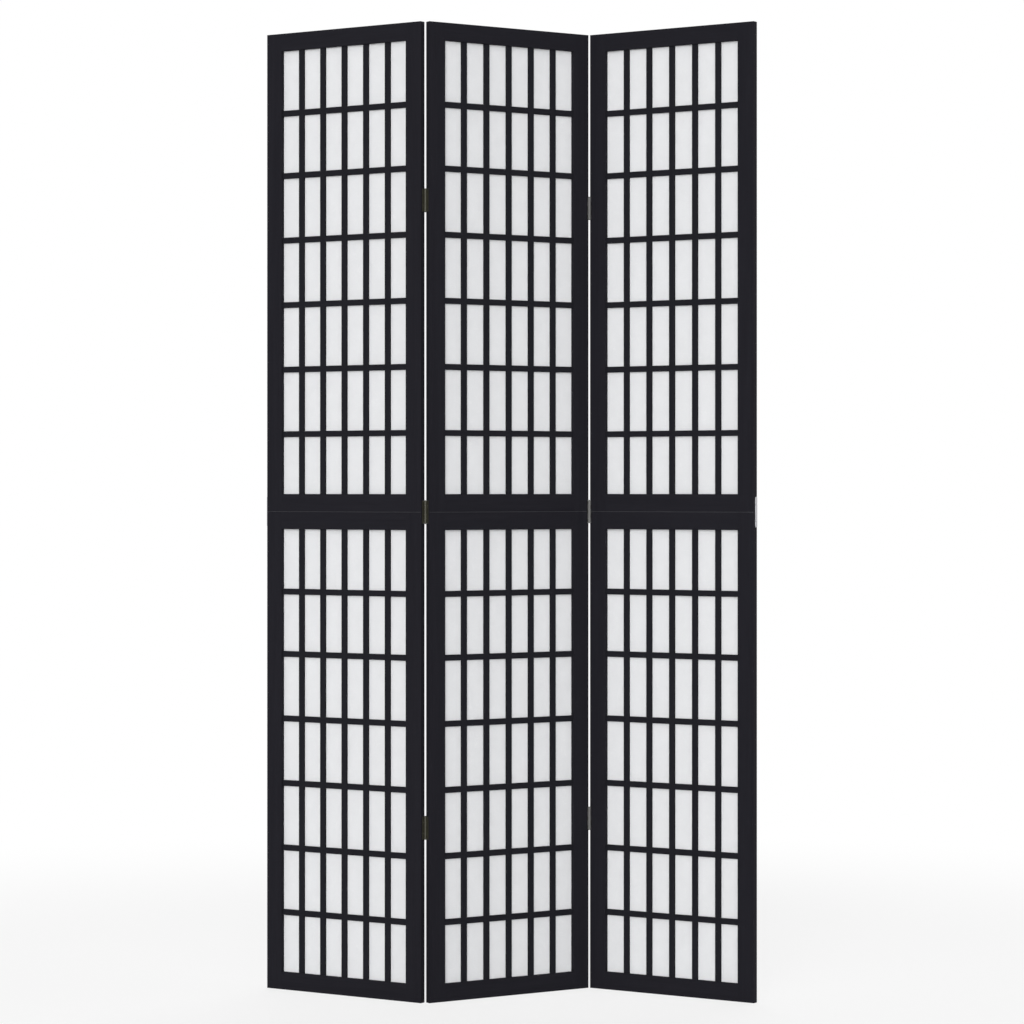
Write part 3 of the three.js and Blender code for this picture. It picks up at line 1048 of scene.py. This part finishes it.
def add_pin(node):
    """A headed pin, turned about z."""
    low, high = panel_box(node)
    centre = (low + high) / 2
    shank = (high.z - low.z) / 2 - PIN_HEAD_HEIGHT
    rim = shank + PIN_HEAD_RIM * PIN_HEAD_HEIGHT
    rise = (1 - PIN_HEAD_RIM) * PIN_HEAD_HEIGHT
    dome = [
        (PIN_HEAD_RADIUS * math.cos(angle), rim + rise * math.sin(angle))
        for angle in PIN_DOME_ANGLES
    ]
    upper = [*dome, (PIN_HEAD_RADIUS, shank), (PIN_RADIUS, shank)]
    profile = upper + [(radius, -z) for radius, z in reversed(upper)]
    mesh = bmesh.new()
    rings = [ring_of(mesh, circle(radius, steps=PIN_STEPS), z) for radius, z in profile]
    for above, below in zip(rings, rings[1:]):
        join_rings(mesh, above, below)
    mesh.faces.new(rings[0])
    mesh.faces.new(rings[-1])
    bmesh.ops.recalc_face_normals(mesh, faces=mesh.faces[:])
    local = Matrix.Translation(centre)
    mesh.transform(local)
    add_piece(f"{node}_turned", mesh, node, "pin_steel", local)


def add_joining_plate(side, face, node):
    y = face * (FACE_Y - PLATE_INSET - PLATE_WIDTH / 2)

    def outline(inset):
        return rounded_outline(PLATE_WIDTH, PLATE_HEIGHT, PLATE_CORNER, inset)

    places = [-PLATE_SCREW_RISE, PLATE_SCREW_RISE]
    slab = slab_mesh(outline, [(0, along) for along in places], PLATE_FACE - PLATE_LIFT, PLATE_EDGE)
    frame_at = end_frame(side, face, y, SEAM_Z) @ Matrix.Translation((0, 0, PLATE_LIFT))
    mesh = transformed(slab, frame_at)
    local = Matrix.Translation((side * END_X, y, SEAM_Z))
    add_piece(f"{node}_strip", mesh, node, "plate_steel", local)
    for number, along in enumerate(places, 1):
        turn = SCREW_TURNS.uniform(0, math.pi / 2)
        name = f"{node}_screw_{number}"
        add_screw(name, node, "plate_steel", side, (y, SEAM_Z + along), PLATE_FACE, turn)


def add_end_hardware(body, side):
    carried, face = PANEL_ENDS[body, side]
    if carried.endswith("_end"):
        add_joining_plate(side, face, f"{carried}_joining_plate")
        return
    for level in HINGE_LEVELS:
        hinge = f"{carried}_{level}_hinge"
        leaf = "right_leaf" if side < 0 else "left_leaf"
        add_leaf(body, side, face, f"{hinge}_{leaf}", HINGE_HEIGHTS[f"{carried}_{level}"])
        if body == "middle_panel":
            add_pin(f"{hinge}_pin")


# Stage

def add_camera():
    data = bpy.data.cameras.new("camera")
    data.sensor_width = SENSOR_WIDTH
    data.lens = FOCAL_PIXELS / PHOTO_PIXELS * SENSOR_WIDTH
    data.shift_y = (HORIZON_PIXELS - PHOTO_PIXELS / 2) / PHOTO_PIXELS
    data.clip_end = CAMERA_REACH
    camera = bpy.data.objects.new("camera", data)
    camera.location = CAMERA_PLACE
    camera.rotation_euler = (math.pi / 2, 0, 0)
    bpy.context.scene.collection.objects.link(camera)
    bpy.context.scene.camera = camera


def seen_rays(shader):
    """1 for rays that show the background itself: from the camera, a reflection or glass."""
    path = shader.node("ShaderNodeLightPath").outputs
    mirrored = shader.math("MAXIMUM", path["Is Glossy Ray"], path["Is Transmission Ray"])
    return shader.math("MAXIMUM", path["Is Camera Ray"], mirrored)


def add_world():
    shader = Shader(bpy.data.worlds.new("studio"))
    bpy.context.scene.world = shader.owner
    lit = shader.node("ShaderNodeBackground", {"Color": WHITE, "Strength": AMBIENT})
    white = shader.node("ShaderNodeBackground", {"Color": WHITE, "Strength": 1.0})
    mixed = shader.node("ShaderNodeMixShader", {
        "Fac": seen_rays(shader),
        1: lit.outputs["Background"],
        2: white.outputs["Background"],
    })
    shader.node("ShaderNodeOutputWorld", {"Surface": mixed.outputs["Shader"]})


def floor_material():
    """White to the camera where it is fully lit, and darker in the screen's shadow."""
    shader = Shader(bpy.data.materials.new("pale_floor"))
    matt = shader.node("ShaderNodeBsdfDiffuse", {"Color": FLOOR_COLOUR})
    glow = shader.node("ShaderNodeEmission", {"Color": WHITE, "Strength": 1.0})
    place = shader.node("ShaderNodeNewGeometry").outputs["Position"]
    far = shader.node("ShaderNodeVectorMath", {0: place}, operation="LENGTH").outputs["Value"]
    glow_share = shader.node("ShaderNodeMapRange", {
        "Value": far,
        "From Min": FLOOR_FADE[0],
        "From Max": FLOOR_FADE[1],
        "To Min": FLOOR_GLOW[0],
        "To Max": FLOOR_GLOW[1],
    }, interpolation_type="SMOOTHSTEP").outputs["Result"]
    share = shader.math("MULTIPLY", seen_rays(shader), glow_share)
    mixed = shader.node("ShaderNodeMixShader", {
        "Fac": share,
        1: matt.outputs["BSDF"],
        2: glow.outputs["Emission"],
    })
    return shader.finish(mixed.outputs["Shader"])


def add_floor():
    mesh = bmesh.new()
    bmesh.ops.create_grid(mesh, x_segments=1, y_segments=1, size=FLOOR_SIZE / 2)
    data = bpy.data.meshes.new("floor")
    mesh.to_mesh(data)
    mesh.free()
    floor = bpy.data.objects.new("floor", data)
    floor.location.z = FLOOR_LEVEL
    data.materials.append(floor_material())
    bpy.context.scene.collection.objects.link(floor)


def add_lamp(name, bearing, height, spread, strength):
    """A wide, even light from far away. The bearing is turned from the camera's side towards
    the right, and the height is turned up from the floor."""
    data = bpy.data.lights.new(name, "SUN")
    data.angle = math.radians(spread)
    data.energy = strength
    lamp = bpy.data.objects.new(name, data)
    lamp.rotation_euler = (math.radians(90 - height), 0, math.radians(bearing))
    lamp.location = (0, 0, LAMP_LEVEL)
    bpy.context.scene.collection.objects.link(lamp)


def add_light():
    add_world()
    for lamp in LAMPS:
        add_lamp(*lamp)


# The screen

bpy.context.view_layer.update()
half_frames = [HalfFrame(body, level) for body in PANELS for level in LEVELS]
END_X = half_frames[0].edge  # from the middle of a panel to its end faces
FACE_Y = half_frames[0].back  # from there to its front and back faces
SEAM_Z = (half_frames[0].top + half_frames[1].bottom) / 2
pin_low, pin_high = panel_box("right_fold_middle_hinge_pin")
PIN_OFFSET = (  # off the panel's end, and off the face that the knuckles stand out of
    (pin_low.x + pin_high.x) / 2 - END_X,
    -(pin_low.y + pin_high.y) / 2 - FACE_Y,
)
SCREW_TURNS = random.Random(SCREW_SEED)
paper_chance = random.Random(PAPER_SEED)

for half in half_frames:
    for side in (-1, 1):
        add_stile(half, side)
    for is_top in (False, True):
        add_rail(half, is_top)
    add_lattice(half)
    add_paper(half, paper_chance)
for body in PANELS:
    for side in (-1, 1):
        add_end_hardware(body, side)
add_camera()
add_floor()
add_light()
bpy.context.scene.view_settings.view_transform = "Standard"
